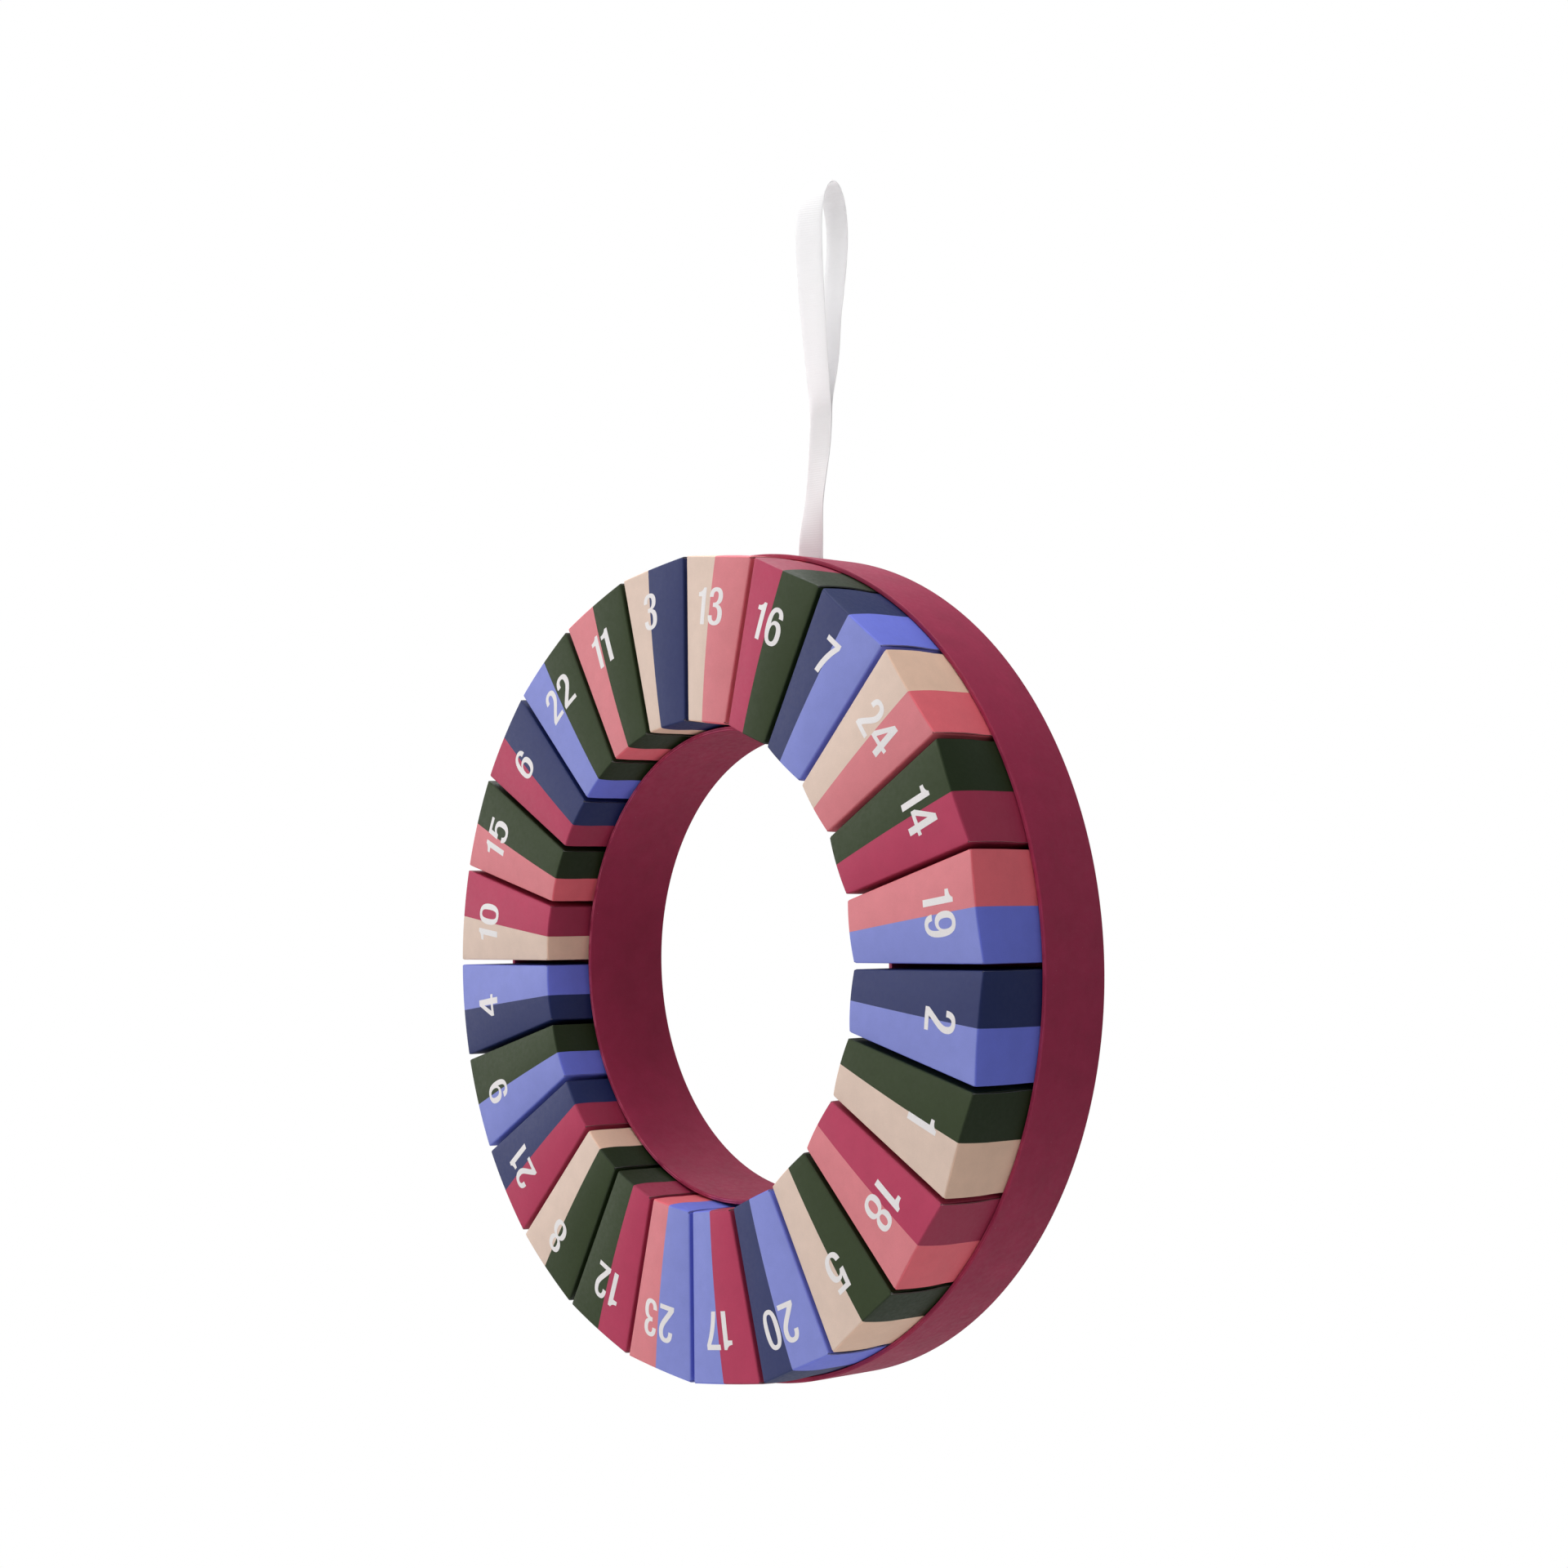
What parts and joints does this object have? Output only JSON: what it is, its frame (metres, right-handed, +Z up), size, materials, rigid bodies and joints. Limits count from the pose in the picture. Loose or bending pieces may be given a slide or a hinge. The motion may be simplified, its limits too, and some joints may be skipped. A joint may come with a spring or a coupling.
{
  "type": "wreath advent calendar",
  "caption": "Ring-shaped tray of wrapped board holding wedge-shaped numbered cartons that pull out forwards, hung from a looped ribbon.",
  "frame": {"origin": "where the hook bears, inside the top of the ribbon's loop", "axes": "+Z up, -Y out of the cartons' numbered fronts, +Y out of the tray's back, +X to the right seen from the front"},
  "size_m": [0.4, 0.0897, 0.5945],
  "materials": {
    "tray_wrap": "grey board wrapped in matt burgundy paper",
    "ribbon": "white grosgrain, fine cross ribs",
    "card_beige": "matt printed carton board, two colours meeting on the middle line, white number",
    "card_pink": "matt printed carton board, two colours meeting on the middle line, white number",
    "card_raspberry": "matt printed carton board, two colours meeting on the middle line, white number",
    "card_green": "matt printed carton board, two colours meeting on the middle line, white number",
    "card_navy": "matt printed carton board, two colours meeting on the middle line, white number",
    "card_periwinkle": "matt printed carton board, two colours meeting on the middle line, white number"
  },
  "bodies": {
    "tray": {"back_board": "tray_wrap", "outer_wall": "tray_wrap", "inner_wall": "tray_wrap", "hanging_ribbon": "ribbon"},
    "box_01": {"carton_01": "card_green", "flap_01": "card_beige"},
    "box_02": {"carton_02": "card_navy", "flap_02": "card_periwinkle"},
    "box_03": {"carton_03": "card_beige", "flap_03": "card_navy"},
    "box_04": {"carton_04": "card_navy", "flap_04": "card_periwinkle"},
    "box_05": {"carton_05": "card_green", "flap_05": "card_beige"},
    "box_06": {"carton_06": "card_raspberry", "flap_06": "card_navy"},
    "box_07": {"carton_07": "card_navy", "flap_07": "card_periwinkle"},
    "box_08": {"carton_08": "card_green", "flap_08": "card_beige"},
    "box_09": {"carton_09": "card_periwinkle", "flap_09": "card_green"},
    "box_10": {"carton_10": "card_beige", "flap_10": "card_raspberry"},
    "box_11": {"carton_11": "card_pink", "flap_11": "card_green"},
    "box_12": {"carton_12": "card_raspberry", "flap_12": "card_green"},
    "box_13": {"carton_13": "card_beige", "flap_13": "card_pink"},
    "box_14": {"carton_14": "card_green", "flap_14": "card_raspberry"},
    "box_15": {"carton_15": "card_pink", "flap_15": "card_green"},
    "box_16": {"carton_16": "card_raspberry", "flap_16": "card_green"},
    "box_17": {"carton_17": "card_raspberry", "flap_17": "card_periwinkle"},
    "box_18": {"carton_18": "card_raspberry", "flap_18": "card_pink"},
    "box_19": {"carton_19": "card_pink", "flap_19": "card_periwinkle"},
    "box_20": {"carton_20": "card_periwinkle", "flap_20": "card_navy"},
    "box_21": {"carton_21": "card_raspberry", "flap_21": "card_navy"},
    "box_22": {"carton_22": "card_periwinkle", "flap_22": "card_green"},
    "box_23": {"carton_23": "card_periwinkle", "flap_23": "card_pink"},
    "box_24": {"carton_24": "card_beige", "flap_24": "card_pink"}
  },
  "joints": [
    {"name": "pull_01", "type": "slide", "parent": "tray", "child": "box_01", "axis": [0, -1, 0], "range_m": [0, 0.08]},
    {"name": "pull_02", "type": "slide", "parent": "tray", "child": "box_02", "axis": [0, -1, 0], "range_m": [0, 0.08]},
    {"name": "pull_03", "type": "slide", "parent": "tray", "child": "box_03", "axis": [0, -1, 0], "range_m": [0, 0.08]},
    {"name": "pull_04", "type": "slide", "parent": "tray", "child": "box_04", "axis": [0, -1, 0], "range_m": [0, 0.08]},
    {"name": "pull_05", "type": "slide", "parent": "tray", "child": "box_05", "axis": [0, -1, 0], "range_m": [0, 0.08]},
    {"name": "pull_06", "type": "slide", "parent": "tray", "child": "box_06", "axis": [0, -1, 0], "range_m": [0, 0.08]},
    {"name": "pull_07", "type": "slide", "parent": "tray", "child": "box_07", "axis": [0, -1, 0], "range_m": [0, 0.08]},
    {"name": "pull_08", "type": "slide", "parent": "tray", "child": "box_08", "axis": [0, -1, 0], "range_m": [0, 0.08]},
    {"name": "pull_09", "type": "slide", "parent": "tray", "child": "box_09", "axis": [0, -1, 0], "range_m": [0, 0.08]},
    {"name": "pull_10", "type": "slide", "parent": "tray", "child": "box_10", "axis": [0, -1, 0], "range_m": [0, 0.08]},
    {"name": "pull_11", "type": "slide", "parent": "tray", "child": "box_11", "axis": [0, -1, 0], "range_m": [0, 0.08]},
    {"name": "pull_12", "type": "slide", "parent": "tray", "child": "box_12", "axis": [0, -1, 0], "range_m": [0, 0.08]},
    {"name": "pull_13", "type": "slide", "parent": "tray", "child": "box_13", "axis": [0, -1, 0], "range_m": [0, 0.08]},
    {"name": "pull_14", "type": "slide", "parent": "tray", "child": "box_14", "axis": [0, -1, 0], "range_m": [0, 0.08]},
    {"name": "pull_15", "type": "slide", "parent": "tray", "child": "box_15", "axis": [0, -1, 0], "range_m": [0, 0.08]},
    {"name": "pull_16", "type": "slide", "parent": "tray", "child": "box_16", "axis": [0, -1, 0], "range_m": [0, 0.08]},
    {"name": "pull_17", "type": "slide", "parent": "tray", "child": "box_17", "axis": [0, -1, 0], "range_m": [0, 0.08]},
    {"name": "pull_18", "type": "slide", "parent": "tray", "child": "box_18", "axis": [0, -1, 0], "range_m": [0, 0.08]},
    {"name": "pull_19", "type": "slide", "parent": "tray", "child": "box_19", "axis": [0, -1, 0], "range_m": [0, 0.08]},
    {"name": "pull_20", "type": "slide", "parent": "tray", "child": "box_20", "axis": [0, -1, 0], "range_m": [0, 0.08]},
    {"name": "pull_21", "type": "slide", "parent": "tray", "child": "box_21", "axis": [0, -1, 0], "range_m": [0, 0.08]},
    {"name": "pull_22", "type": "slide", "parent": "tray", "child": "box_22", "axis": [0, -1, 0], "range_m": [0, 0.08]},
    {"name": "pull_23", "type": "slide", "parent": "tray", "child": "box_23", "axis": [0, -1, 0], "range_m": [0, 0.08]},
    {"name": "pull_24", "type": "slide", "parent": "tray", "child": "box_24", "axis": [0, -1, 0], "range_m": [0, 0.08]}
  ]
}
